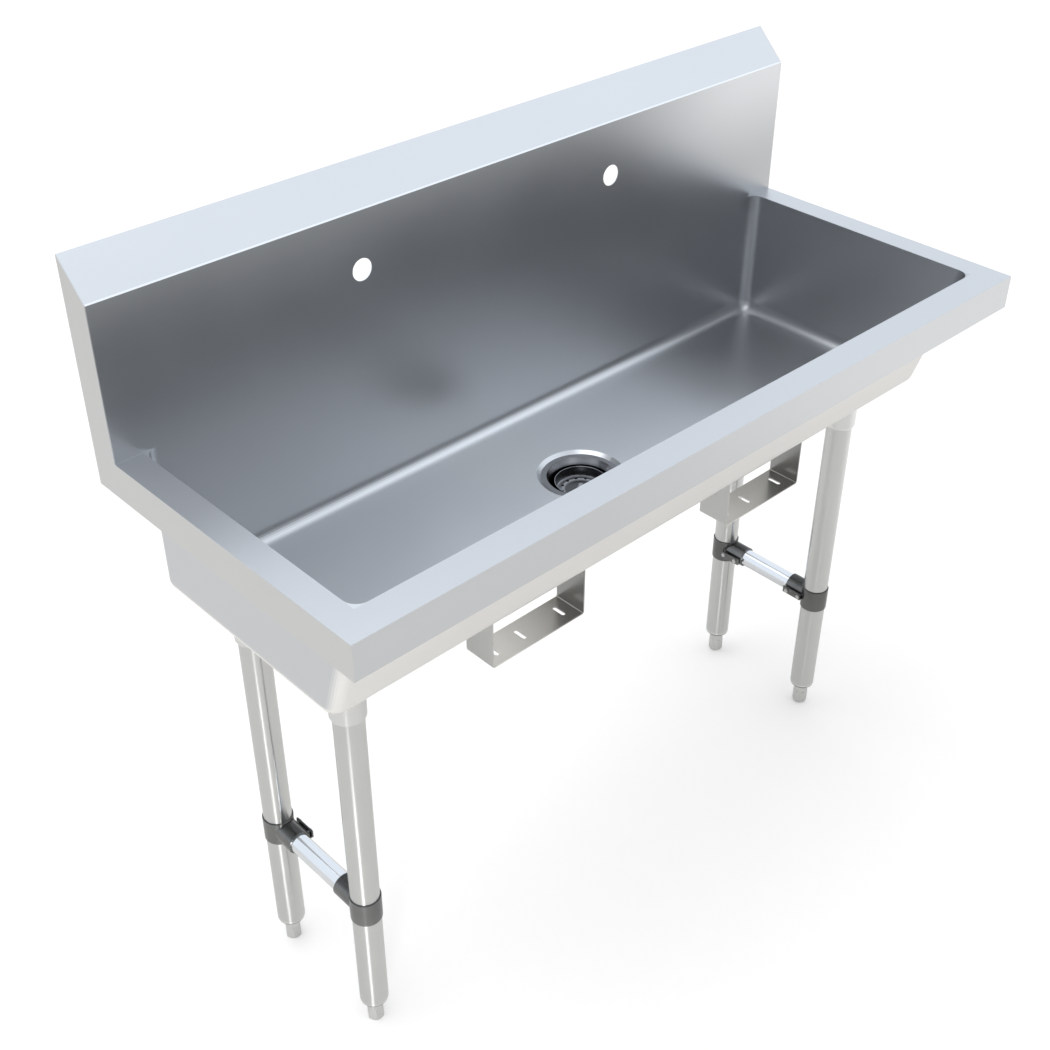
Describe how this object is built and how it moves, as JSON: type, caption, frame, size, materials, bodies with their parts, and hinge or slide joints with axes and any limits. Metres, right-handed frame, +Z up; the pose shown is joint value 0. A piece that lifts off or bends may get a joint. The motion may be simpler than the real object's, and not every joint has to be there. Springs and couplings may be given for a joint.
{
  "type": "trough sink",
  "caption": "Long stainless hand sink: coved trough bowl with leaning front, backsplash with faucet holes, knee valve brackets, basket drain, braced tube legs and screw feet.",
  "frame": {"origin": "on the floor under the middle of the sink's outline", "axes": "+X along the sink to the user's right, +Y from the user to the wall, +Z up"},
  "size_m": [1.2192, 0.5016, 1.1335],
  "materials": {
    "bowl_steel": "satin, fine scratches along the fold",
    "socket_steel": "satin turned",
    "leg_steel": "satin polished tube",
    "foot_steel": "turned, satin",
    "screw_steel": "dull",
    "bracket_steel": "mill finish",
    "strainer_steel": "pressed and polished",
    "pipe_chrome": "bright plated",
    "locknut_brass": "cast, dull",
    "dark_plastic": "moulded, fine grain",
    "black_rubber": "matt",
    "fibre_washer": "pressed fibre",
    "white_washer": "smooth"
  },
  "bodies": {
    "sink": {"trough_wrapper": "bowl_steel", "end_wall_left": "bowl_steel", "end_wall_right": "bowl_steel", "end_panel_left": "bowl_steel", "end_panel_right": "bowl_steel", "leg_socket_front_left": "socket_steel", "leg_socket_front_right": "socket_steel", "leg_socket_rear_left": "socket_steel", "leg_socket_rear_right": "socket_steel", "socket_set_screws": "screw_steel", "leg_tube_front_left": "leg_steel", "leg_tube_front_right": "leg_steel", "leg_tube_rear_left": "leg_steel", "leg_tube_rear_right": "leg_steel", "leg_insert_front_left": "dark_plastic", "leg_insert_front_right": "dark_plastic", "leg_insert_rear_left": "dark_plastic", "leg_insert_rear_right": "dark_plastic", "rail_clamp_front_left": "dark_plastic", "rail_clamp_front_right": "dark_plastic", "rail_clamp_rear_left": "dark_plastic", "rail_clamp_rear_right": "dark_plastic", "clamp_screws": "screw_steel", "cross_rail_left": "leg_steel", "cross_rail_right": "leg_steel", "valve_bracket_left": "bracket_steel", "valve_bracket_right": "bracket_steel", "strainer_body": "strainer_steel", "strainer_gasket": "black_rubber", "strainer_washer": "fibre_washer", "strainer_locknut": "locknut_brass", "tailpiece_washer": "white_washer", "tailpiece": "pipe_chrome", "coupling_nut": "pipe_chrome"},
    "foot_front_left": {"foot_front_left": "foot_steel"},
    "foot_front_right": {"foot_front_right": "foot_steel"},
    "foot_rear_left": {"foot_rear_left": "foot_steel"},
    "foot_rear_right": {"foot_rear_right": "foot_steel"},
    "basket": {"strainer_basket": "strainer_steel", "basket_stopper": "black_rubber", "basket_post": "strainer_steel"}
  },
  "joints": [
    {"name": "foot_front_left_screw", "type": "slide", "parent": "sink", "child": "foot_front_left", "axis": [0, 0, -1], "range_m": [0, 0.025]},
    {"name": "foot_front_right_screw", "type": "slide", "parent": "sink", "child": "foot_front_right", "axis": [0, 0, -1], "range_m": [0, 0.025]},
    {"name": "foot_rear_left_screw", "type": "slide", "parent": "sink", "child": "foot_rear_left", "axis": [0, 0, -1], "range_m": [0, 0.025]},
    {"name": "foot_rear_right_screw", "type": "slide", "parent": "sink", "child": "foot_rear_right", "axis": [0, 0, -1], "range_m": [0, 0.025]},
    {"name": "basket_lift", "type": "slide", "parent": "sink", "child": "basket", "axis": [0, 0, 1], "range_m": [0, 0.1]}
  ]
}
